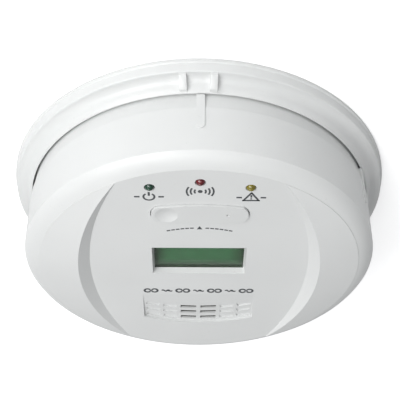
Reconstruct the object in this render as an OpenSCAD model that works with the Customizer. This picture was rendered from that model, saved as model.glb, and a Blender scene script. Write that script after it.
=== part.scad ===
// Round battery carbon monoxide alarm on a twist-lock mounting plate, lying on its back.
// Units: millimetres. Origin: centre of the plate's back face. +Z points out of the face,
// +Y towards the indicator lights, +X to the reader's right.

/* [Overall] */
// Outer diameter of the mounting plate
plate_d = 131.2; // [131:0.1:132]
// Diameter of the alarm's side wall
body_d = 118.6; // [118.4:0.1:118.8]
// Diameter of the face's rim
rim_d = 108.2; // [108:0.1:108.6]
// Height of the face's flat panel above the wall or ceiling
panel_z = 35; // [34.8:0.1:35.4]
// Rise of the two side domes if they met over the centre
dome_rise = 5.7; // [5:0.1:6]

/* [Shell] */
// Wall thickness of the front cover
cover_wall = 2.2; // [2:0.1:2.4]
// Thickness of the plate's floor
plate_floor = 2; // [1.8:0.1:2.2]
// Height of the joint between rear housing and front cover
parting_z = 14.6; // [14.2:0.1:15]

/* [Face] */
// Length of the test button
button_l = 30.9; // [30.7:0.1:31.1]
// Width of the test button
button_w = 9.8; // [9.4:0.1:9.9]
// Width of the display opening
display_w = 29.8; // [29:0.1:30.4]
// Radius of the circle the indicator lights sit on
light_circle_r = 47.9; // [47.6:0.1:48.1]

/* [Fixing] */
// Distance between the two fixing slots
slot_spacing = 64; // [60:1:66]
// Width of a fixing slot
slot_w = 4.4; // [4:0.1:5]
// Turn of the bayonet from locked to free, in degrees
twist = 15; // [14:0.5:15.5]

/* [Hidden] */
$fn = 128;
eps = 0.01;

// Side wall and face
body_r = body_d / 2;
rim_r = rim_d / 2;
shoulder_z = panel_z - 3.6;
cover_under_z = panel_z - cover_wall;
cover_inner_r = body_r - cover_wall;
side_mark_angles = [90, 22];
// The alarm's own mark stops a little past the middle of the plate's two
plate_mark_angles = [-3.8, 5.1];
// The cap reaches panel height just outside the rim, so the domes end in a fine step there
cap_r = rim_r + 0.8;
dome_r = (cap_r * cap_r + dome_rise * dome_rise) / (2 * dome_rise);
crescent_r = 106;
crescent_x = 69;
crescent_slope = 1.48;

// Mounting plate
ring_inner_r = body_r - 0.2;
ring_top_z = 8.9;
lip_z = 4.7;
cove_r = 3.2;
mark_base_z = 4.35;
plate_r = plate_d / 2;
hook_angles = [30, 150, 270];
hook_span = 10;
hook_in_r = 48;
hook_post_r = 50;
hook_out_r = 51.8;
hook_lip_z = 5.5;
hook_top_z = 7.2;
hook_clear = 0.4;
hook_entry_clear = 0.9;

// Rear housing
rear_z = 3;
rear_floor_z = 5;
band_top_r = body_r - 0.15;
band_bottom_r = body_r - 0.95;
taper_z = 8;
tongue_r = cover_inner_r - 0.3;
tongue_in_r = tongue_r - 1.2;

// Battery bay: three cells side by side
cell_r = 7.25;
cell_l = 49.2;
cell_pitch = 15.2;
cell_z = 11.4;
cell_y = [-cell_pitch, 0, cell_pitch];
// +1 points the cell's nub to +X, -1 to -X
cell_dir = [1, -1, 1];
bay_l = 58;
bay_w = 46.4;
bay_wall = 1.5;
bay_top_z = 20.5;
contact_t = 0.4;
tab_z = 16;

// Circuit board and what holds it
board_z = 24;
board_top_z = 25.6;
board_r = 52;
board_posts = [[44, 14], [-44, 14], [22, -42.5], [-22, -42.5]];
case_posts = [[24, 45], [-24, 45], [36, -36], [-36, -36]];

// Lights
light_angles = [-18.9, 0, 18.9];
light_r = 1.5;
light_hole_r = 1.65;
light_dome_z = panel_z - 0.6;

// Test button, hinged at its right end and pressed at its left
button_y = 31.8;
button_top_z = panel_z + 0.7;
button_bow_r = 75;
dimple_r = 14;
dimple_depth = 0.5;
dimple_x = -10.6;
pinhole_x = 8.9;
button_gap = 0.3;
button_flange_z = cover_under_z - 1.7;
pivot_x = 13.3;
pivot_z = panel_z - 3.3;
pivot_r = 0.55;
stem_x = -9.5;
stem_z = 30.15;
plunger_top_z = 29.8;

// Display
display_y = [-2.6, 12];
display_c = (display_y[0] + display_y[1]) / 2;
display_draft = 0.9;
window_z = cover_under_z - 1.2;
glass_z = 28.9;
frame_top_z = window_z - 0.1;

// Sound outlet and horn
vent_half_w = 19.8;
vent_top_y = -16.8;
vent_floor_r = 49.7;
vent_tilt = 3.4;
vent_rows = [-26.9, -30.8, -35.0];
vent_slot_h = 2.1;
vent_bend_r = 55;
grille_wall = 0.7;
vent_open_x = [-3.6, 3.6];
vent_blind_x = [-16.4, -10.3, 10.3, 16.4];
horn_y = -31;
horn_r = 13.6;
horn_z = 21.5;
horn_top_z = cover_under_z - 0.4;
horn_wire_y = 3.5;

// Gas sensor
sensor_x = -42;
sensor_r = 9;

// ---- shared shapes -------------------------------------------------------------------

// Ring between two radii and two heights
module ring(r_in, r_out, z0, z1) {
    translate([0, 0, z0])
        difference() {
            cylinder(h = z1 - z0, r = r_out);
            translate([0, 0, -1])
                cylinder(h = z1 - z0 + 2, r = r_in);
        }
}

// Part of a ring, from angle a0 over a given span
module arc_block(r_in, r_out, z0, z1, a0, span) {
    rotate([0, 0, a0])
        rotate_extrude(angle = span)
            translate([r_in, z0])
                square([r_out - r_in, z1 - z0]);
}

// Box given by its centre in X and Y, its two heights and its size in X and Y
module slab(x, y, z0, z1, w, d) {
    translate([x - w / 2, y - d / 2, z0])
        cube([w, d, z1 - z0]);
}

// Upright round rod
module rod(x, y, z0, z1, r) {
    translate([x, y, z0])
        cylinder(h = z1 - z0, r = r, $fn = 48);
}

// Long oval lying along X
module oval(l, w, z0, z1) {
    for (side = [-1, 1])
        translate([side * (l - w) / 2, 0, z0])
            cylinder(h = z1 - z0, r = w / 2);
    slab(0, 0, z0, z1, l - w, w);
}

// Oval whose long sides bow outwards, as the test button and its opening do; grow adds a margin
module bowed_oval(grow, z0, z1) {
    intersection() {
        oval(button_l + 2 * grow, button_w + 2 * grow, z0, z1);
        intersection_for(side = [-1, 1])
            translate([0, side * (button_bow_r - button_w / 2), z0 - 1])
                cylinder(h = z1 - z0 + 2, r = button_bow_r + grow, $fn = 256);
    }
}

// Pan-head screw pointing up, with a cross recess in its head
module screw(x, y, head_z, head_h, head_r, shank_top_z, shank_r) {
    difference() {
        union() {
            rod(x, y, head_z, head_z + head_h, head_r);
            rod(x, y, head_z, shank_top_z, shank_r);
        }
        for (turn = [0, 90])
            translate([x, y, head_z])
                rotate([0, 0, turn])
                    cube([head_r * 1.2, 0.6, head_h], center = true);
    }
}

// ---- mounting plate --------------------------------------------------------------------

// Points along a circular arc, from angle a0 to a1
function arc_points(x, y, r, a0, a1, steps) = [
    for (i = [0:steps])
        let (a = a0 + (a1 - a0) * i / steps)
            [x + r * cos(a), y + r * sin(a)]
];

// Half section of the plate's outer ring: flange, upright lip, ledge, and a cove up to the crest
module plate_section() {
    difference() {
        polygon(concat(
            [[ring_inner_r, 0], [plate_r, 0], [plate_r, 1.2], [plate_r - 0.5, 1.5]],
            arc_points(plate_r - 1.3, lip_z - 0.6, 0.6, 0, 80, 4),
            arc_points(plate_r - 2, lip_z + cove_r, cove_r, 268, 200, 8),
            [[ring_inner_r + 0.7, ring_top_z - 0.2], [ring_inner_r + 0.4, ring_top_z]],
            [[ring_inner_r, ring_top_z]]
        ));
        polygon([
            [ring_inner_r + 1.5, -1],
            [plate_r - 2.2, -1],
            [plate_r - 2.2, 3],
            [ring_inner_r + 1.5, 4]
        ]);
    }
}

// One bayonet hook: a post with a lip that reaches in over the housing
module hook(a) {
    arc_block(hook_post_r, hook_out_r, plate_floor - eps, hook_top_z, a, hook_span);
    arc_block(hook_in_r, hook_out_r, hook_lip_z, hook_top_z, a, hook_span);
}

module fixing_slot(x) {
    translate([x, 0, 0]) {
        oval(10, slot_w, -1, plate_floor + 1);
        oval(12.4, slot_w + 2.4, plate_floor - 0.8, plate_floor + 1);
    }
}

// Two raised marks on the plate that stand either side of the alarm's own mark
module plate_marks() {
    for (a = plate_mark_angles)
        rotate([0, 0, a])
            intersection() {
                translate([-1.2, ring_inner_r + 0.6, mark_base_z])
                    cube([2.4, plate_r - ring_inner_r, ring_top_z - mark_base_z]);
                rotate_extrude()
                    polygon([
                        [ring_inner_r + 0.1, mark_base_z],
                        [plate_r - 1.6, mark_base_z],
                        [plate_r - 1.6, 5.3],
                        [ring_inner_r + 1.8, ring_top_z - 0.3],
                        [ring_inner_r + 0.1, ring_top_z - 0.3]
                    ]);
            }
}

module mounting_plate() {
    color("white") {
        rotate_extrude()
            plate_section();
        difference() {
            cylinder(h = plate_floor, r = ring_inner_r + 1.4);
            for (side = [-1, 1])
                fixing_slot(side * slot_spacing / 2);
        }
        for (a = hook_angles)
            hook(a);
        plate_marks();
    }
}

// ---- rear housing -------------------------------------------------------------------------

// Slot a hook passes through, with the wide entry at its free end
module hook_slot(a) {
    z0 = rear_z - 1;
    z1 = rear_floor_z + 1;
    arc_block(hook_post_r - hook_clear, hook_out_r + hook_clear, z0, z1,
        a - twist - 1, hook_span + twist + 1.5);
    arc_block(hook_in_r - hook_entry_clear, hook_out_r + hook_entry_clear, z0, z1,
        a - twist - 1, hook_span + 2);
}

module rear_shell() {
    translate([0, 0, rear_z])
        cylinder(h = 0.8, r1 = band_bottom_r - 0.8, r2 = band_bottom_r);
    translate([0, 0, rear_z + 0.8])
        cylinder(h = taper_z - rear_z - 0.8, r = band_bottom_r);
    translate([0, 0, taper_z])
        cylinder(h = parting_z - taper_z, r1 = band_bottom_r, r2 = band_top_r);
    translate([0, 0, parting_z - eps])
        cylinder(h = 2.2, r = tongue_r);
}

module rear_hollow() {
    translate([0, 0, rear_floor_z])
        cylinder(h = parting_z, r = tongue_in_r);
}

// Raised marks on the side wall, each with a rounded end
module side_marks(z0, z1) {
    for (a = side_mark_angles)
        rotate([0, 0, a - 90])
            intersection() {
                union() {
                    slab(0, body_r, z0, z1 - 1.3, 2.6, 4);
                    translate([0, body_r, z1 - 1.3])
                        rotate([90, 0, 0])
                            cylinder(h = 4, r = 1.3, center = true, $fn = 48);
                }
                ring(band_bottom_r - 0.6, body_r + 0.3, z0, z1);
            }
}

module bay_shell() {
    slab(0, 0, rear_z, bay_top_z, bay_l + 2 * bay_wall, bay_w + 2 * bay_wall);
}

module bay_hollow() {
    slab(0, 0, rear_z - 1, bay_top_z - bay_wall, bay_l, bay_w);
}

// Thin walls that keep the cells apart
module bay_dividers() {
    for (y = [-cell_pitch / 2, cell_pitch / 2])
        for (x = [-16, 0, 16])
            slab(x, y, 15, bay_top_z - bay_wall + eps, 6, 0.6);
}

module housing_bosses() {
    for (p = case_posts)
        rod(p[0], p[1], rear_floor_z - eps, parting_z + 0.2, 3.8);
}

module housing_boss_holes() {
    for (p = case_posts) {
        rod(p[0], p[1], rear_z - 1, parting_z + 1, 1.6);
        rod(p[0], p[1], rear_z - 1, rear_z + 3.2, 3.1);
    }
}

module tab_slots() {
    for (side = [-1, 1])
        slab(side * (bay_l + bay_wall) / 2, -side * cell_pitch, tab_z - 0.4, tab_z + 0.4, 3, 3.6);
}

module rear_housing() {
    color("white")
        difference() {
            union() {
                difference() {
                    rear_shell();
                    rear_hollow();
                }
                bay_shell();
                housing_bosses();
                side_marks(ring_top_z + 0.6, parting_z + 1.3);
            }
            bay_hollow();
            housing_boss_holes();
            tab_slots();
            for (a = hook_angles)
                hook_slot(a);
            ring(tongue_r, body_r + 4, parting_z, parting_z + 4);
        }
    color("white")
        bay_dividers();
}

// ---- front cover ---------------------------------------------------------------------------

module cover_outside() {
    rotate_extrude() {
        polygon([
            [0, parting_z],
            [body_r, parting_z],
            [body_r, shoulder_z],
            [rim_r, panel_z],
            [0, panel_z]
        ]);
        intersection() {
            translate([rim_r - 2.2, panel_z - 8.74])
                circle(r = 9.01);
            translate([rim_r - 4, shoulder_z - 1])
                square([body_r - rim_r + 4, panel_z - shoulder_z + 1]);
        }
    }
}

// The two side domes: one shallow spherical cap with the central panel cut out of it
module side_domes() {
    difference() {
        intersection() {
            translate([0, 0, panel_z + dome_rise - dome_r])
                sphere(r = dome_r, $fn = 512);
            translate([0, 0, panel_z - 0.5])
                cylinder(h = dome_rise + 1, r = rim_r);
        }
        intersection_for(side = [-1, 1])
            translate([side * crescent_x, 0, panel_z - 0.5])
                cylinder(h = dome_rise + 2, r1 = crescent_r - 0.5 * crescent_slope,
                    r2 = crescent_r + (dome_rise + 1.5) * crescent_slope, $fn = 256);
    }
}

module cover_hollow() {
    translate([0, 0, parting_z - 1])
        cylinder(h = shoulder_z - parting_z - 0.9, r = cover_inner_r);
    translate([0, 0, shoulder_z - 1.9 - eps])
        cylinder(h = cover_under_z - shoulder_z + 1.9 + eps, r1 = cover_inner_r, r2 = rim_r - 2);
}

module light_holes() {
    for (a = light_angles)
        rotate([0, 0, -a])
            translate([0, light_circle_r, 0]) {
                rod(0, 0, cover_under_z - 1, panel_z + 1, light_hole_r);
                translate([0, 0, panel_z - 0.1])
                    cylinder(h = 0.2, r1 = light_hole_r, r2 = light_hole_r + 0.2, $fn = 48);
            }
}

// Display opening with drafted walls
module display_opening() {
    deep = display_y[1] - display_y[0];
    wide = 2 * display_draft;
    hull() {
        slab(0, display_c, cover_under_z - 1, cover_under_z + eps, display_w, deep);
        slab(0, display_c - 0.1, panel_z, panel_z + 1, display_w + wide, deep + wide - 0.6);
    }
}

// Shallow pocket whose floor tilts down towards its curved lower edge
module vent_pocket() {
    intersection() {
        translate([0, vent_top_y, panel_z])
            rotate([vent_tilt, 0, 0])
                translate([-vent_half_w, -25, 0])
                    cube([2 * vent_half_w, 25, 4]);
        translate([0, 12.5, panel_z - 4])
            cylinder(h = 8, r = vent_floor_r);
    }
}

// How far a row has bent up at a given X
function vent_rise(x) = x * x / (2 * vent_bend_r);

// Height of the pocket's tilted floor at a given Y
function vent_floor(y) = panel_z - (vent_top_y - y) * tan(vent_tilt);

// One slot of the grille; the rows bend up towards the sides
module vent_slot(x, y, w, z0) {
    translate([x, y + vent_rise(x), z0])
        rotate([0, 0, asin(x / vent_bend_r)])
            translate([-w / 2, -vent_slot_h / 2, 0])
                cube([w, vent_slot_h, 6]);
}

// Recess in the cover's underside that leaves only a thin grille around the open slots
module vent_relief() {
    translate([0, vent_top_y, panel_z - grille_wall])
        rotate([vent_tilt, 0, 0])
            translate([-8, -21.2, -4])
                cube([16, 14, 4]);
}

module vent_slots() {
    for (y = vent_rows) {
        for (x = vent_open_x)
            vent_slot(x, y, 5.7, cover_under_z - 1);
        for (x = vent_blind_x)
            vent_slot(x, y, 4.9, vent_floor(y + vent_rise(x)) - 0.5);
    }
}

module cover_posts() {
    for (p = board_posts)
        rod(p[0], p[1], board_top_z, cover_under_z + eps, 2.8);
    for (p = case_posts)
        rod(p[0], p[1], parting_z + 0.4, cover_under_z + eps, 3.6);
    translate([0, horn_y, 0])
        ring(horn_r + 0.3, horn_r + 1.5, 28.6, cover_under_z + eps);
}

module cover_post_holes() {
    for (p = board_posts)
        rod(p[0], p[1], board_top_z - 1, board_top_z + 5.5, 1.1);
    for (p = case_posts)
        rod(p[0], p[1], parting_z - 1, parting_z + 11, 1.35);
}

// Two bearing blocks for the test button's pivot pins
module pivot_blocks() {
    difference() {
        for (side = [-1, 1])
            slab(pivot_x, button_y + side * 7.8, pivot_z - 1.4, cover_under_z + eps, 3.2, 1.6);
        translate([pivot_x, button_y, pivot_z])
            rotate([90, 0, 0])
                cylinder(h = 20, r = pivot_r + 0.05, center = true, $fn = 32);
    }
}

module front_cover() {
    color("white") {
        difference() {
            union() {
                difference() {
                    union() {
                        cover_outside();
                        side_domes();
                        side_marks(parting_z, 23);
                    }
                    cover_hollow();
                }
                intersection() {
                    cover_posts();
                    cylinder(h = panel_z - 1, r = body_r - 1);
                }
            }
            cover_post_holes();
            light_holes();
            translate([0, button_y, 0])
                bowed_oval(button_gap, cover_under_z - 1, panel_z + 1);
            display_opening();
            vent_pocket();
            vent_relief();
            vent_slots();
        }
        pivot_blocks();
    }
}

// ---- test button and switch ------------------------------------------------------------------

module test_button() {
    color("gainsboro")
        translate([0, button_y, 0])
            difference() {
                union() {
                    bowed_oval(0, button_flange_z + 1, button_top_z);
                    oval(button_l + 1.8, button_w + 1.8, button_flange_z, button_flange_z + 1.4);
                    rod(stem_x, 0, stem_z, button_flange_z + 1, 1.4);
                    translate([pivot_x, 0, pivot_z])
                        rotate([90, 0, 0])
                            cylinder(h = 17, r = pivot_r, center = true, $fn = 32);
                }
                translate([dimple_x, 0, button_top_z + dimple_r - dimple_depth])
                    rotate([90, 0, 0])
                        sphere(r = dimple_r, $fn = 128);
                rod(pinhole_x, 0, button_top_z - 1, button_top_z + 1, 0.55);
            }
}

module test_switch() {
    color("dimgray")
        difference() {
            slab(stem_x, button_y, board_top_z, 28.6, 6, 6);
            rod(stem_x, button_y, 27.2, 29, 1.75);
        }
}

module switch_plunger() {
    color("black")
        rod(stem_x, button_y, 27.9, plunger_top_z, 1.7);
}

// ---- indicator lights --------------------------------------------------------------------------

module place_light(a) {
    rotate([0, 0, -a])
        translate([0, light_circle_r, 0])
            children();
}

module light_body() {
    rod(0, 0, 29.6, 30.6, 1.9);
    rod(0, 0, 30.6, light_dome_z, light_r);
    translate([0, 0, light_dome_z])
        sphere(r = light_r, $fn = 64);
}

module power_light() {
    color("green")
        place_light(light_angles[0])
            light_body();
}

module alarm_light() {
    color("red")
        place_light(light_angles[1])
            light_body();
}

module fault_light() {
    color("gold")
        place_light(light_angles[2])
            light_body();
}

module light_spacers() {
    color("black")
        for (a = light_angles)
            place_light(a)
                ring(1.15, 1.9, board_top_z, 29.6);
}

module light_leads() {
    color("silver")
        for (a = light_angles)
            place_light(a)
                for (side = [-1, 1])
                    rod(side * 0.8, 0, board_z - 1, 29.6, 0.25);
}

// ---- display -----------------------------------------------------------------------------------

module display_window() {
    color("lightcyan", 0.5)
        slab(0, display_c, window_z, cover_under_z, display_w + 4, 18);
}

module display_glass() {
    color("darkolivegreen")
        slab(0, display_c, glass_z, frame_top_z, 34, 18);
}

module display_frame() {
    color("white")
        difference() {
            slab(0, display_c, board_top_z, frame_top_z, 38, 21.4);
            slab(0, display_c, board_top_z - 1, frame_top_z + 1, 34.4, 18.4);
        }
}

module display_backlight() {
    color("honeydew")
        slab(0, display_c, board_top_z, glass_z, 33, 12.6);
}

module display_connectors() {
    color("hotpink")
        for (side = [-1, 1])
            slab(0, display_c + side * 8, board_top_z, glass_z, 32, 1.8);
}

// ---- circuit board and its parts ---------------------------------------------------------------

module circuit_board() {
    color("darkgreen")
        difference() {
            translate([0, 0, board_z])
                cylinder(h = board_top_z - board_z, r = board_r);
            slab(0, horn_y - 15, board_z - 1, board_top_z + 1, 2 * horn_r + 5, 62);
            for (p = case_posts)
                rod(p[0], p[1], board_z - 1, board_top_z + 1, 4.2);
            for (p = board_posts)
                rod(p[0], p[1], board_z - 1, board_top_z + 1, 1.3);
            for (a = light_angles)
                place_light(a)
                    for (side = [-1, 1])
                        rod(side * 0.8, 0, board_z - 1, board_top_z + 1, 0.3);
            for (p = sensor_pin_points())
                rod(p[0], p[1], board_z - 1, board_top_z + 1, 0.6);
        }
}

module microcontroller() {
    color("black")
        slab(-29.5, 20, board_top_z + 0.1, board_top_z + 1.6, 10, 10);
    color("silver")
        for (turn = [0, 90, 180, 270])
            translate([-29.5, 20, 0])
                rotate([0, 0, turn])
                    for (i = [-5:5])
                        slab(5.4, i * 0.8, board_top_z, board_top_z + 0.6, 1.2, 0.35);
}

module sensor_amplifier() {
    color("black")
        slab(-29, -6, board_top_z + 0.1, board_top_z + 1.6, 3.9, 5);
    color("silver")
        for (side = [-1, 1])
            for (i = [-1.5:1.5])
                slab(-29 + side * 2.4, -6 + i * 1.27, board_top_z, board_top_z + 0.7, 1.2, 0.42);
}

module board_capacitors() {
    color("midnightblue")
        for (p = [[29, 22], [29, 13], [38, 0]])
            rod(p[0], p[1], board_top_z, board_top_z + 6.4, 3.15);
}

module horn_transformer() {
    color("saddlebrown") {
        rod(28, -10, board_top_z, board_top_z + 1.2, 5);
        rod(28, -10, board_top_z + 1.2 - eps, board_top_z + 5.4, 3.4);
        rod(28, -10, board_top_z + 5.4 - eps, board_top_z + 6.6, 5);
    }
}

function sensor_pin_points() = [
    [sensor_x - 5, 0],
    [sensor_x + 4, 3.5],
    [sensor_x + 4, -3.5]
];

// Stepped can with a crimped collar
module co_sensor() {
    color("silver") {
        rod(sensor_x, 0, 8.6, board_z - 0.4, sensor_r);
        rod(sensor_x, 0, 7.6, 8.6 + eps, sensor_r - 1.4);
        translate([sensor_x, 0, 0])
            ring(sensor_r - 0.5, sensor_r + 0.5, 19.8, 21.2);
    }
}

module sensor_pins() {
    color("gold")
        for (p = sensor_pin_points())
            rod(p[0], p[1], board_z - 0.4, board_top_z + 1.1, 0.5);
}

// ---- sounder -------------------------------------------------------------------------------------

module vent_mesh() {
    color("gray")
        translate([0, horn_y, horn_top_z])
            cylinder(h = cover_under_z - horn_top_z, r = horn_r);
}

// Cup with a sound hole at the front and a ledge that carries the disc at the back
module horn_housing() {
    color("dimgray")
        translate([0, horn_y, 0])
            difference() {
                translate([0, 0, horn_z])
                    cylinder(h = horn_top_z - horn_z, r = horn_r);
                translate([0, 0, horn_z - 1])
                    cylinder(h = 3, r = horn_r - 1.2);
                translate([0, 0, horn_z])
                    cylinder(h = horn_top_z - horn_z - 1.2, r = horn_r - 2.4);
                cylinder(h = 40, r = 3);
                slab(0, horn_wire_y, horn_z - 1, horn_z + 1.6, 3 * horn_r, 1.6);
            }
}

module piezo_disc() {
    color("gold")
        translate([0, horn_y, horn_z + 1.7])
            cylinder(h = 0.3, r = horn_r - 1.25);
}

module piezo_ceramic() {
    color("ivory")
        translate([0, horn_y, horn_z + 1.45])
            cylinder(h = 0.25, r = 9);
}

// Two leads that run out behind the horn and turn up to the board
module horn_wires() {
    color("black")
        corner_wire(6, horn_y + horn_wire_y, horn_z + 0.7, 19.5, 1.5, board_z, 0.6);
    color("red")
        mirror([1, 0, 0])
            corner_wire(6, horn_y + horn_wire_y, horn_z + 0.7, 19.5, 1.5, board_z, 0.6);
}

// Wire from x0 out to x1 towards -X, with a bend that turns it up to height z1
module corner_wire(x0, y, z, x1, bend, z1, r) {
    run = x1 - x0 - bend;
    translate([-x0, y, z])
        rotate([0, -90, 0])
            cylinder(h = run + eps, r = r, $fn = 24);
    translate([-x0 - run, y, z + bend])
        rotate([90, 0, 0])
            rotate([0, 0, 180])
                rotate_extrude(angle = 90)
                    translate([bend, 0])
                        circle(r = r, $fn = 24);
    rod(-x1, y, z + bend - eps, z1, r);
}

// ---- batteries -----------------------------------------------------------------------------------

// Cell lying along X, centred so that its nub and its base both stay clear of the bay's ends
module battery_cell(i) {
    dir = cell_dir[i];
    translate([-dir * 0.4, cell_y[i], cell_z])
        rotate([0, dir * 90, 0]) {
            difference() {
                translate([0, 0, -cell_l / 2])
                    cylinder(h = cell_l, r = cell_r);
                translate([0, 0, cell_l / 2 - 0.4])
                    ring(3.2, cell_r - 0.9, 0, 1);
            }
            translate([0, 0, cell_l / 2 - 0.5])
                cylinder(h = 1.6, r = 2.7);
        }
}

module battery_cell_1() {
    color("goldenrod")
        battery_cell(0);
}

module battery_cell_2() {
    color("goldenrod")
        battery_cell(1);
}

module battery_cell_3() {
    color("goldenrod")
        battery_cell(2);
}

// Sprung plates at both ends of the bay; the two outer ones end in a soldering tab
module battery_contacts() {
    color("silver")
        for (side = [-1, 1]) {
            x = side * (bay_l / 2 - 0.3);
            slab(x, side * cell_pitch / 2, 6, 17, contact_t, 2 * cell_pitch - 4);
            slab(x, -side * cell_pitch, 6, 17, contact_t, 11);
            slab(side * (bay_l / 2 + 0.9), -side * cell_pitch, tab_z - 0.2, tab_z + 0.2, 2.6, 3);
            for (i = [0:2])
                if (cell_dir[i] == side)
                    translate([side * (bay_l / 2 - 3.25), cell_y[i], cell_z])
                        rotate([0, side * 90, 0])
                            cylinder(h = 3, r1 = 2.2, r2 = 3.4, $fn = 32);
        }
}

// Negative contact springs, drawn as three shrinking coils on a riser
module battery_springs() {
    color("silver")
        for (i = [0:2])
            translate([-cell_dir[i] * (bay_l / 2 - 0.5), cell_y[i], cell_z])
                rotate([0, cell_dir[i] * 90, 0]) {
                    for (turn = [0:2])
                        translate([0, 0, 0.4 + turn * 1.35])
                            rotate_extrude($fn = 48)
                                translate([4.4 - turn * 0.6, 0])
                                    circle(r = 0.35, $fn = 16);
                    for (turn = [0:1])
                        rotate([0, 0, turn * 180])
                            translate([4.1 - turn * 0.6, 0, 0.4 + turn * 1.35])
                                cylinder(h = 1.35, r = 0.35, $fn = 16);
                }
}

module battery_wire_positive() {
    color("red")
        mirror([1, 0, 0])
            corner_wire(bay_l / 2 + 2.3, -cell_pitch, tab_z, 38, 2, board_z, 0.8);
}

module battery_wire_negative() {
    color("black")
        corner_wire(bay_l / 2 + 2.3, cell_pitch, tab_z, 38, 2, board_z, 0.8);
}

// ---- fasteners and label ---------------------------------------------------------------------------

module housing_screws() {
    color("silver")
        for (p = case_posts)
            screw(p[0], p[1], rear_z + 1.1, 2.1, 2.8, parting_z + 9, 1.3);
}

module board_screws() {
    color("silver")
        for (p = board_posts)
            screw(p[0], p[1], board_z - 1.6, 1.6, 2.2, board_top_z + 4.5, 1.05);
}

module rear_label() {
    color("whitesmoke")
        slab(0, -36, rear_z - 0.15, rear_z, 40, 14);
}

mounting_plate();
rear_housing();
front_cover();
test_button();
test_switch();
switch_plunger();
power_light();
alarm_light();
fault_light();
light_spacers();
light_leads();
display_window();
display_glass();
display_frame();
display_backlight();
display_connectors();
circuit_board();
microcontroller();
sensor_amplifier();
board_capacitors();
horn_transformer();
co_sensor();
sensor_pins();
vent_mesh();
horn_housing();
piezo_disc();
piezo_ceramic();
horn_wires();
battery_cell_1();
battery_cell_2();
battery_cell_3();
battery_contacts();
battery_springs();
battery_wire_positive();
battery_wire_negative();
housing_screws();
board_screws();
rear_label();
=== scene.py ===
"""Looks of a round battery gas alarm on a twist-lock mounting plate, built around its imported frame.

The alarm lies on its back: +Z leaves the face, +Y points to the indicator lights. Lengths are in
metres; MM turns the drawing's millimetres into metres.
"""

import math

import bmesh
import bpy
from mathutils import Matrix, Vector


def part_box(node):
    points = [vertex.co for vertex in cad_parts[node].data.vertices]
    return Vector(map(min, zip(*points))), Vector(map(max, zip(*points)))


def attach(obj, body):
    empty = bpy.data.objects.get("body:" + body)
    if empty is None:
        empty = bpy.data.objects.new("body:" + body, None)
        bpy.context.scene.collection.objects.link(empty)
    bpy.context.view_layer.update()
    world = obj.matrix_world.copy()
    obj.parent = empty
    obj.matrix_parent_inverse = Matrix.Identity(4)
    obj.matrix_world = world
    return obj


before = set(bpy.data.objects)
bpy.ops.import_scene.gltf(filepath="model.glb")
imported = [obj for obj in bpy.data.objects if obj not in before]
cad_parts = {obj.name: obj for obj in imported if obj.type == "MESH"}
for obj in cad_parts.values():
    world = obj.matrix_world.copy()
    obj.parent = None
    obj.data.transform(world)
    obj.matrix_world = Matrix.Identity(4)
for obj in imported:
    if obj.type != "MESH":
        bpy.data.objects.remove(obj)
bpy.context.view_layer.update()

MM = 0.001
BUTTON_PROUD = 0.7 * MM
PANEL_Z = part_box("test_button")[1].z - BUTTON_PROUD


# ---- camera ----------------------------------------------------------------------------

TILT = math.radians(52.61)  # between the face's normal and the line of sight
DISTANCE = 0.357
FOCAL_OVER_WIDTH = 2.45765
SENSOR_WIDTH = 36.0
AIM_RIGHT = 0.00105792  # slope of the line of sight to the right of the alarm's origin
AIM_DOWN = 0.01328505  # and below it
TURN = math.radians(0.5)  # of the camera about the alarm's own axis


def make_camera():
    """The camera above the lights' side of the face, with the lights at the picture's top."""
    turn = Matrix.Rotation(TURN, 3, "Z")
    back = turn @ Vector((0, math.sin(TILT), math.cos(TILT)))
    up = turn @ Vector((0, math.cos(TILT), -math.sin(TILT)))
    right = up.cross(back)
    sight = (right * AIM_RIGHT - up * AIM_DOWN - back).normalized()
    up = (up - sight * up.dot(sight)).normalized()
    right = sight.cross(up)
    data = bpy.data.cameras.new("camera")
    data.sensor_width = SENSOR_WIDTH
    data.lens = FOCAL_OVER_WIDTH * SENSOR_WIDTH
    data.clip_start = 0.01
    data.clip_end = 20
    camera = bpy.data.objects.new("camera", data)
    axes = Matrix((right, up, -sight)).transposed().to_4x4()
    camera.matrix_world = Matrix.Translation(back * DISTANCE) @ axes
    bpy.context.scene.collection.objects.link(camera)
    bpy.context.scene.camera = camera


# ---- materials -------------------------------------------------------------------------


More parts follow.
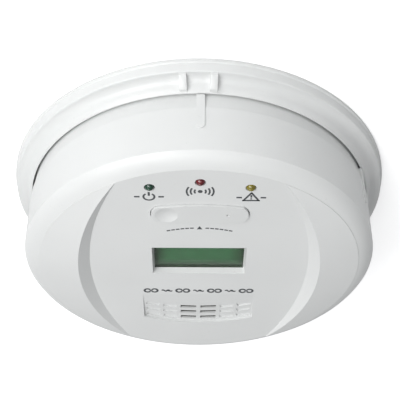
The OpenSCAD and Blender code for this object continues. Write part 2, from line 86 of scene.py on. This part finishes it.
class Look:
    """One procedural material: a Principled shader, and short calls that add nodes before it."""

    def __init__(self, name, **sockets):
        self.material = bpy.data.materials.new(name)
        self.material.use_nodes = True
        self.tree = self.material.node_tree
        self.shader = self.tree.nodes["Principled BSDF"]
        self.position = self.node("ShaderNodeTexCoord").outputs["Object"]
        for socket, value in sockets.items():
            self.shader.inputs[socket.replace("_", " ")].default_value = value

    def node(self, kind, **settings):
        made = self.tree.nodes.new(kind)
        for name, value in settings.items():
            setattr(made, name, value)
        return made

    def join(self, source, target):
        self.tree.links.new(source, target)

    def noise(self, size, detail=3.0, roughness=0.5, stretch=(1, 1, 1)):
        """Soft random values whose blotches are about size metres across."""
        scale = self.node("ShaderNodeMapping")
        scale.inputs["Scale"].default_value = stretch
        self.join(self.position, scale.inputs["Vector"])
        noise = self.node("ShaderNodeTexNoise")
        noise.inputs["Scale"].default_value = 1 / size
        noise.inputs["Detail"].default_value = detail
        noise.inputs["Roughness"].default_value = roughness
        self.join(scale.outputs["Vector"], noise.inputs["Vector"])
        return noise.outputs["Fac"]

    def cells(self, size, stretch=(1, 1, 1), feature="F1"):
        """Distance from the nearest of many scattered points about size metres apart."""
        scale = self.node("ShaderNodeMapping")
        scale.inputs["Scale"].default_value = stretch
        self.join(self.position, scale.inputs["Vector"])
        cells = self.node("ShaderNodeTexVoronoi", feature=feature)
        cells.inputs["Scale"].default_value = 1 / size
        self.join(scale.outputs["Vector"], cells.inputs["Vector"])
        return cells.outputs["Distance"]

    def axis(self, name):
        """One coordinate of the point being shaded, in metres."""
        split = self.node("ShaderNodeSeparateXYZ")
        self.join(self.position, split.inputs["Vector"])
        return split.outputs[name]

    def math(self, operation, first, second=0.0):
        made = self.node("ShaderNodeMath", operation=operation)
        for socket, value in zip(made.inputs, (first, second)):
            if isinstance(value, (int, float)):
                socket.default_value = value
            else:
                self.join(value, socket)
        return made.outputs["Value"]

    def span(self, source, low, high, to_low=0.0, to_high=1.0):
        """Maps low..high to to_low..to_high, clamped at both ends."""
        made = self.node("ShaderNodeMapRange")
        made.inputs["From Min"].default_value = low
        made.inputs["From Max"].default_value = high
        made.inputs["To Min"].default_value = to_low
        made.inputs["To Max"].default_value = to_high
        self.join(source, made.inputs["Value"])
        return made.outputs["Result"]

    def blend(self, share, first, second):
        """Goes from the first colour to the second as share goes from 0 to 1."""
        made = self.node("ShaderNodeMix", data_type="RGBA")
        for socket, value in ((made.inputs[6], first), (made.inputs[7], second)):
            if isinstance(value, tuple):
                socket.default_value = (*value, 1)
            else:
                self.join(value, socket)
        self.join(share, made.inputs[0])
        return made.outputs[2]

    def colour(self, source):
        self.join(source, self.shader.inputs["Base Color"])

    def roughness(self, source):
        self.join(source, self.shader.inputs["Roughness"])

    def bump(self, height, depth, strength=1.0):
        """Adds relief of about depth metres; a later call goes on top of an earlier one."""
        made = self.node("ShaderNodeBump")
        made.inputs["Distance"].default_value = depth
        made.inputs["Strength"].default_value = strength
        self.join(height, made.inputs["Height"])
        normal = self.shader.inputs["Normal"]
        if normal.is_linked:
            self.join(normal.links[0].from_socket, made.inputs["Normal"])
        self.join(made.outputs["Normal"], normal)


def moulded(name, colour, dark, roughness, grain=0.35, relief=0.012, **sockets):
    """Moulded plastic: fine spark-eroded texture, faint flow shading and a little dust."""
    look = Look(name, **sockets)
    flow = look.span(look.noise(0.03, 2.0), 0.3, 0.7)
    dust = look.span(look.noise(0.0012, 6.0, 0.7), 0.62, 0.78)
    tone = look.blend(flow, colour, tuple(0.965 * c for c in colour))
    look.colour(look.blend(look.math("MULTIPLY", dust, 0.35), tone, dark))
    smear = look.noise(0.009, 4.0)
    look.roughness(look.span(smear, 0.25, 0.75, roughness - 0.05, roughness + 0.07))
    look.bump(look.noise(grain * MM, 3.0), relief * MM, 0.6)
    return look.material


def metal(name, colour, roughness, brushed=(1, 1, 1)):
    """Plated or rolled metal with fine drawing marks and dull spots."""
    look = Look(name, Metallic=1.0)
    spots = look.span(look.noise(0.0018, 5.0), 0.4, 0.7)
    look.colour(look.blend(spots, colour, tuple(0.8 * c for c in colour)))
    marks = look.noise(0.0005, 3.0, 0.5, brushed)
    look.roughness(look.span(marks, 0.3, 0.7, roughness - 0.08, roughness + 0.12))
    look.bump(marks, 0.004 * MM, 0.5)
    return look.material


def lens(name, colour, deep):
    """Tinted light, clouded in patches of a deeper colour."""
    look = Look(
        name, Transmission_Weight=0.15, IOR=1.5, Coat_Weight=0.5, Coat_Roughness=0.08
    )
    cloud = look.span(look.noise(0.0011, 4.0), 0.35, 0.7)
    look.colour(look.blend(cloud, colour, deep))
    look.roughness(look.span(look.noise(0.0006), 0.3, 0.7, 0.16, 0.3))
    look.bump(look.noise(0.0004), 0.004 * MM, 0.4)
    return look.material


def clear_window():
    """Thin clear sheet that lets lamps light what lies behind it."""
    look = Look("clear_window_look", Transmission_Weight=1.0, IOR=1.35)
    look.colour(
        look.blend(look.noise(0.02, 2.0), (0.97, 0.99, 0.98), (0.94, 0.97, 0.95))
    )
    scuffs = look.noise(0.0009, 5.0, 0.6, (1, 8, 1))
    look.roughness(look.span(scuffs, 0.45, 0.8, 0.02, 0.12))
    look.bump(look.noise(0.01, 2.0), 0.01 * MM, 0.3)
    see_through = look.node("ShaderNodeBsdfTransparent")
    choose = look.node("ShaderNodeMixShader")
    path = look.node("ShaderNodeLightPath")
    output = look.tree.nodes["Material Output"]
    look.join(path.outputs["Is Shadow Ray"], choose.inputs[0])
    look.join(look.shader.outputs["BSDF"], choose.inputs[1])
    look.join(see_through.outputs["BSDF"], choose.inputs[2])
    look.join(choose.outputs["Shader"], output.inputs["Surface"])
    return look.material


def display_glass():
    """Green reflective display: mottled middle, and edges darkened as painted shade of the recess
    around it.
    """
    look = Look("display_glass_look", Specular_IOR_Level=0.15)
    low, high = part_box("display_glass")
    centre = (low + high) / 2
    half_x = 14.6 * MM
    half_y = 7.0 * MM
    across = look.math("DIVIDE", look.math("SUBTRACT", look.axis("X"), centre.x), half_x)
    along = look.math("DIVIDE", look.math("SUBTRACT", look.axis("Y"), centre.y), half_y)
    # Painted shade: the colour goes darker towards the display's sides and ends, where its recess
    # shades it.
    side_shade = look.span(look.math("ABSOLUTE", across), 0.72, 1.0)
    end_shade = look.span(look.math("ABSOLUTE", along), 0.45, 1.0)
    recess_shade = look.math("MAXIMUM", side_shade, end_shade)
    mottle = look.span(look.noise(0.009, 3.0, 0.6, (1, 2, 1)), 0.3, 0.7)
    middle = look.blend(mottle, (0.022, 0.082, 0.031), (0.028, 0.096, 0.039))
    look.colour(look.blend(recess_shade, middle, (0.012, 0.032, 0.012)))
    look.roughness(look.span(look.noise(0.002, 4.0), 0.3, 0.7, 0.45, 0.6))
    look.bump(look.noise(0.0003), 0.002 * MM, 0.4)
    return look.material


def light_guide():
    look = Look("light_guide_look", Transmission_Weight=0.4, IOR=1.49)
    look.colour(look.blend(look.noise(0.004, 3.0), (0.82, 0.88, 0.82), (0.7, 0.8, 0.72)))
    look.roughness(look.span(look.noise(0.0008), 0.3, 0.7, 0.25, 0.45))
    look.bump(look.cells(0.0012), 0.03 * MM, 0.6)
    return look.material


def board_laminate():
    """Green solder mask over a weave, with a paler net of copper tracks under it."""
    look = Look("board_laminate_look", Coat_Weight=0.3, Coat_Roughness=0.2)
    track = look.cells(0.0034, (1, 1, 0.01), "DISTANCE_TO_EDGE")
    on_track = look.span(track, 0.05, 0.09, 1.0, 0.0)
    mask = look.blend(look.noise(0.01, 3.0), (0.012, 0.10, 0.035), (0.016, 0.13, 0.045))
    look.colour(look.blend(on_track, mask, (0.05, 0.23, 0.07)))
    look.roughness(look.span(look.noise(0.0015, 4.0), 0.3, 0.7, 0.3, 0.48))
    look.bump(on_track, 0.035 * MM, 0.7)
    look.bump(look.noise(0.0004), 0.01 * MM, 0.4)
    return look.material


def wire_mesh():
    """Woven wire cloth: two sets of fine wires, with the holes between them painted near-black as
    painted shade of the space behind.
    """
    look = Look("mesh_metal_look", Metallic=1.0)
    pitch = 0.45 * MM
    turn = 2 * math.pi / pitch
    warp = look.math("SINE", look.math("MULTIPLY", look.axis("X"), turn))
    weft = look.math("SINE", look.math("MULTIPLY", look.axis("Y"), turn))
    wire = look.span(look.math("MAXIMUM", warp, weft), -0.1, 0.55)
    spots = look.noise(0.002, 4.0)
    dull = look.blend(spots, (0.16, 0.15, 0.13), (0.10, 0.095, 0.085))
    # Painted shade: near-black colour between the wires stands for the dark space seen through the
    # holes.
    look.colour(look.blend(wire, (0.008, 0.008, 0.007), dull))
    look.roughness(look.span(spots, 0.3, 0.7, 0.3, 0.5))
    look.bump(wire, 0.12 * MM, 0.9)
    return look.material


def cell_can():
    """Alkaline cell: a printed sleeve of two plain colours, and its bare metal ends."""
    look = Look("cell_can_look")
    scuffs = look.noise(0.0022, 5.0, 0.6)
    band = look.span(look.axis("X"), -0.0108, -0.0106)
    sleeve = look.blend(band, (0.55, 0.30, 0.07), (0.02, 0.022, 0.025))
    look.colour(
        look.blend(look.span(scuffs, 0.6, 0.8, 0, 0.35), sleeve, (0.5, 0.48, 0.42))
    )
    look.roughness(look.span(scuffs, 0.3, 0.7, 0.2, 0.34))
    look.bump(look.noise(0.006, 3.0), 0.03 * MM, 0.4)
    look.shader.inputs["Coat Weight"].default_value = 0.4
    return look.material


def speckled(name, colour, second, size, rough_low, rough_high, relief, **sockets):
    """A small part's plain moulding or film: two close tones, uneven gloss and slight relief."""
    look = Look(name, **sockets)
    patches = look.span(look.noise(size, 5.0, 0.6), 0.35, 0.65)
    look.colour(look.blend(patches, colour, second))
    look.roughness(look.span(look.noise(size / 3), 0.3, 0.7, rough_low, rough_high))
    look.bump(look.noise(size / 5, 3.0), relief * MM, 0.6)
    return look.material


def make_looks():
    """One procedural material for each of the record's slots."""
    return {
        "white_shell": moulded(
            "white_shell_look", (0.66, 0.67, 0.665), (0.42, 0.42, 0.40), 0.39
        ),
        "button_plastic": moulded(
            "button_plastic_look", (0.64, 0.65, 0.645), (0.42, 0.42, 0.40), 0.4
        ),
        "black_plastic": moulded(
            "black_plastic_look", (0.02, 0.02, 0.021), (0.07, 0.07, 0.07), 0.45
        ),
        "green_lens": lens("green_lens_look", (0.012, 0.065, 0.036), (0.005, 0.026, 0.015)),
        "red_lens": lens("red_lens_look", (0.17, 0.014, 0.018), (0.08, 0.006, 0.009)),
        "amber_lens": lens("amber_lens_look", (0.27, 0.23, 0.03), (0.15, 0.12, 0.015)),
        "tinned_metal": metal("tinned_metal_look", (0.62, 0.61, 0.58), 0.3),
        "gold_metal": metal("gold_metal_look", (0.78, 0.56, 0.22), 0.3),
        "clear_window": clear_window(),
        "display_glass": display_glass(),
        "light_guide": light_guide(),
        "elastomer": speckled(
            "elastomer_look", (0.5, 0.2, 0.26), (0.42, 0.15, 0.2), 0.001, 0.6, 0.8, 0.02
        ),
        "board_laminate": board_laminate(),
        "chip_plastic": speckled(
            "chip_plastic_look",
            (0.018, 0.018, 0.02),
            (0.035, 0.035, 0.036),
            0.001,
            0.45,
            0.65,
            0.02,
        ),
        "capacitor_can": speckled(
            "capacitor_can_look",
            (0.02, 0.03, 0.12),
            (0.03, 0.045, 0.16),
            0.003,
            0.2,
            0.35,
            0.01,
        ),
        "coil": speckled(
            "coil_look", (0.32, 0.10, 0.03), (0.22, 0.06, 0.02), 0.0006, 0.25, 0.45, 0.04
        ),
        "sensor_can": metal("sensor_can_look", (0.66, 0.66, 0.64), 0.26, (1, 1, 12)),
        "mesh_metal": wire_mesh(),
        "ceramic": speckled(
            "ceramic_look", (0.72, 0.66, 0.5), (0.66, 0.6, 0.46), 0.002, 0.5, 0.7, 0.01
        ),
        "wire_sleeve": speckled(
            "wire_sleeve_look",
            (0.02, 0.02, 0.02),
            (0.035, 0.035, 0.035),
            0.002,
            0.35,
            0.5,
            0.02,
        ),
        "red_sleeve": speckled(
            "red_sleeve_look", (0.45, 0.02, 0.02), (0.35, 0.015, 0.015), 0.002, 0.35, 0.5, 0.02
        ),
        "cell_can": cell_can(),
        "label_film": speckled(
            "label_film_look",
            (0.72, 0.72, 0.70),
            (0.66, 0.66, 0.64),
            0.004,
            0.3,
            0.45,
            0.008,
        ),
    }


def dress_nodes(looks):
    """Gives every CAD node its slot's procedural material."""
    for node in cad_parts.values():
        for holder in node.material_slots:
            holder.material = looks[holder.material.name]


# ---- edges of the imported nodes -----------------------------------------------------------


def soften_edges(node, width):
    """Rounds a node's sharp edges by modifiers only, so its own mesh stays as packed."""
    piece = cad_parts[node]
    weld = piece.modifiers.new("weld", "WELD")
    weld.merge_threshold = 0.002 * MM
    bevel = piece.modifiers.new("bevel", "BEVEL")
    bevel.width = width
    bevel.segments = 2
    bevel.limit_method = "ANGLE"
    bevel.angle_limit = math.radians(35)
    bevel.harden_normals = True


# Nodes whose moulded edges are rounded, and by how much
SOFT_EDGES = {
    "test_button": 0.25 * MM,
    "mounting_plate": 0.2 * MM,
}


# ---- printing ----------------------------------------------------------------------------

INK_LOW = PANEL_Z - 0.02 * MM
INK_HIGH = PANEL_Z + 0.04 * MM


def prism(mesh, outline):
    """A closed flat prism of ink over the face's panel, from its outline in millimetres."""
    low = [mesh.verts.new((x * MM, y * MM, INK_LOW)) for x, y in outline]
    high = [mesh.verts.new((x * MM, y * MM, INK_HIGH)) for x, y in outline]
    mesh.faces.new(list(reversed(low)))
    mesh.faces.new(high)
    count = len(outline)
    for i in range(count):
        j = (i + 1) % count
        mesh.faces.new((low[i], low[j], high[j], high[i]))


def arc(x, y, radius, start, end, steps=16):
    """Points along an arc, from angle start to angle end in degrees."""
    points = []
    for i in range(steps + 1):
        a = math.radians(start + (end - start) * i / steps)
        points.append((x + radius * math.cos(a), y + radius * math.sin(a)))
    return points


def disc(x, y, radius):
    return arc(x, y, radius, 0, 345, 23)


def stroke(points, width):
    """The outline of a line of the given width along the points."""
    left, right = [], []
    for i, (x, y) in enumerate(points):
        x0, y0 = points[max(i - 1, 0)]
        x1, y1 = points[min(i + 1, len(points) - 1)]
        length = math.hypot(x1 - x0, y1 - y0)
        side_x = -(y1 - y0) / length * width / 2
        side_y = (x1 - x0) / length * width / 2
        left.append((x + side_x, y + side_y))
        right.append((x - side_x, y - side_y))
    return right + left[::-1]


def print_piece(name, outlines, look):
    mesh = bmesh.new()
    for outline in outlines:
        prism(mesh, outline)
    data = bpy.data.meshes.new(name)
    mesh.to_mesh(data)
    mesh.free()
    data.materials.append(look)
    piece = bpy.data.objects.new(name, data)
    bpy.context.scene.collection.objects.link(piece)
    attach(piece, "alarm")
    return piece


def power_sign(x, y):
    """An open ring with a bar in its gap, between two short lines."""
    return [
        stroke(arc(x, y, 1.7, 125, 415, 28), 0.62),
        stroke([(x, y + 0.5), (x, y + 2.4)], 0.65),
        stroke([(x - 4.6, y), (x - 2.9, y)], 0.7),
        stroke([(x + 2.9, y), (x + 4.6, y)], 0.7),
    ]


def alarm_sign(x, y):
    """A dot with three sound waves on either side."""
    outlines = [disc(x, y, 0.75)]
    for radius in (1.75, 2.95, 4.15):
        outlines.append(stroke(arc(x, y, radius, -32, 32), 0.58))
        outlines.append(stroke(arc(x, y, radius, 148, 212), 0.58))
    return outlines


def fault_sign(x, y):
    """A warning triangle between two short lines."""
    return [
        stroke([(x - 2.7, y - 1.7), (x + 2.7, y - 1.7)], 0.62),
        stroke([(x + 2.5, y - 1.9), (x - 0.1, y + 2.4)], 0.62),
        stroke([(x - 2.5, y - 1.9), (x + 0.1, y + 2.4)], 0.62),
        stroke([(x, y - 0.15), (x, y + 1.1)], 0.55),
        disc(x, y - 0.85, 0.32),
        stroke([(x - 4.6, y - 0.2), (x - 2.9, y - 0.2)], 0.7),
        stroke([(x + 2.9, y - 0.2), (x + 4.6, y - 0.2)], 0.7),
    ]


# Dashed arc under the test button: radius and top in millimetres, dash places in degrees
DASH_ARC_R = 34
DASH_ARC_TOP = 24
DASHES_A_SIDE = 6
FIRST_DASH = 4.2
DASH_PITCH = 2.6


def press_sign():
    """A dashed arc under the test button, with a small triangle that points at it."""
    outlines = [[(-0.9, 23.3), (0.9, 23.3), (0, 25)]]
    for side in (1, -1):
        for i in range(DASHES_A_SIDE):
            middle = FIRST_DASH + i * DASH_PITCH
            start = 90 + side * (middle - 1)
            end = 90 + side * (middle + 1)
            dash = arc(0, DASH_ARC_TOP - DASH_ARC_R, DASH_ARC_R, start, end, 3)
            outlines.append(stroke(dash, 0.55))
    return outlines


def gas_sign(x, y):
    """Two joined rings, for a gas of two atoms."""
    return [
        stroke(arc(x - 1.25, y, 1.05, 30, 330, 20), 0.75),
        stroke(arc(x + 1.25, y, 1.05, -150, 150, 20), 0.75),
        stroke([(x - 0.5, y), (x + 0.5, y)], 0.75),
    ]


def air_sign(x, y):
    """A wavy line, for air that moves."""
    points = []
    for i in range(19):
        points.append((x - 1.8 + 0.2 * i, y + 0.45 * math.sin(math.radians(40 * i))))
    return [stroke(points, 0.6)]


def gas_row(y):
    """Gas and air signs in turn along the line above the sound outlet."""
    outlines = []
    pitch = 5.6
    for i in range(7):
        sign = gas_sign if i % 2 == 0 else air_sign
        outlines += sign(pitch * (i - 3), y)
    return outlines


# Places of the signs on the face, in millimetres
SIDE_SIGN_X = 15.8
SIDE_SIGN_Y = 40.7
ALARM_SIGN_Y = 43.5
GAS_ROW_Y = -14.6


def print_marks():
    """Generic signs where the face carries its captions."""
    ink = speckled(
        "ink_look", (0.045, 0.05, 0.055), (0.075, 0.08, 0.085), 0.0007, 0.5, 0.7, 0.003
    )
    print_piece("mark_power", power_sign(-SIDE_SIGN_X, SIDE_SIGN_Y), ink)
    print_piece("mark_alarm", alarm_sign(0, ALARM_SIGN_Y), ink)
    print_piece("mark_fault", fault_sign(SIDE_SIGN_X, SIDE_SIGN_Y), ink)
    print_piece("mark_press", press_sign(), ink)
    print_piece("mark_gas", gas_row(GAS_ROW_Y), ink)


# ---- stage -------------------------------------------------------------------------------


def make_floor():
    """A plain pale floor that looks brighter than the light it throws back on the alarm."""
    size = 3.0
    data = bpy.data.meshes.new("floor")
    corners = [(-size, -size), (size, -size), (size, size), (-size, size)]
    data.from_pydata([(x, y, -0.0002) for x, y in corners], [], [(0, 1, 2, 3)])
    floor = bpy.data.objects.new("floor", data)
    look = Look("floor_look", Roughness=0.9)
    look.colour(look.blend(look.noise(0.4, 3.0), (0.86, 0.86, 0.86), (0.84, 0.845, 0.85)))
    glow = look.node("ShaderNodeEmission")
    glow.inputs["Color"].default_value = (1, 1, 1, 1)
    both = look.node("ShaderNodeAddShader")
    seen = look.node("ShaderNodeMixShader")
    path = look.node("ShaderNodeLightPath")
    glow.inputs["Strength"].default_value = 0.4
    look.join(look.shader.outputs["BSDF"], both.inputs[0])
    look.join(glow.outputs["Emission"], both.inputs[1])
    look.join(path.outputs["Is Camera Ray"], seen.inputs[0])
    look.join(look.shader.outputs["BSDF"], seen.inputs[1])
    look.join(both.outputs["Shader"], seen.inputs[2])
    look.join(seen.outputs["Shader"], look.tree.nodes["Material Output"].inputs["Surface"])
    data.materials.append(look.material)
    bpy.context.scene.collection.objects.link(floor)


def area_light(name, direction, distance, size, power):
    data = bpy.data.lights.new(name, "AREA")
    data.size = size
    data.energy = power
    lamp = bpy.data.objects.new(name, data)
    towards = Vector(direction).normalized()
    lamp.location = towards * distance
    lamp.rotation_mode = "QUATERNION"
    lamp.rotation_quaternion = towards.to_track_quat("Z", "Y")
    bpy.context.scene.collection.objects.link(lamp)


LAMP_DISTANCE = 1.3
LAMP_SIZE = 0.7

# Direction towards each lamp, and its power in watts
LAMPS = {
    "left": ((-0.50, 0.60, 0.62), 9.6),
    "low_left": ((-0.60, 0.70, 0.40), 2.6),
    "behind_camera": ((0.0, 0.60, 0.80), 4.2),
    "lower_left": ((-0.30, -0.50, 0.80), 3.4),
    "top_left": ((-0.30, 0.80, 0.50), 1.4),
}


def make_lights():
    """Soft boxes, mostly from the left, and a pale room around them."""
    for name, (direction, power) in LAMPS.items():
        area_light(name, direction, LAMP_DISTANCE, LAMP_SIZE, power)
    world = bpy.data.worlds.new("studio")
    world.use_nodes = True
    nodes, links = world.node_tree.nodes, world.node_tree.links
    room = nodes["Background"]
    room.inputs["Color"].default_value = (0.97, 0.98, 1.0, 1)
    room.inputs["Strength"].default_value = 0.27
    seen = nodes.new("ShaderNodeBackground")
    seen.inputs["Color"].default_value = (1, 1, 1, 1)
    choose = nodes.new("ShaderNodeMixShader")
    path = nodes.new("ShaderNodeLightPath")
    links.new(path.outputs["Is Camera Ray"], choose.inputs[0])
    links.new(room.outputs[0], choose.inputs[1])
    links.new(seen.outputs[0], choose.inputs[2])
    links.new(choose.outputs[0], nodes["World Output"].inputs["Surface"])
    bpy.context.scene.world = world
    bpy.context.scene.view_settings.view_transform = "Standard"


# ---- build -------------------------------------------------------------------------------

make_camera()
make_floor()
make_lights()
dress_nodes(make_looks())
for node, width in SOFT_EDGES.items():
    soften_edges(node, width)
print_marks()
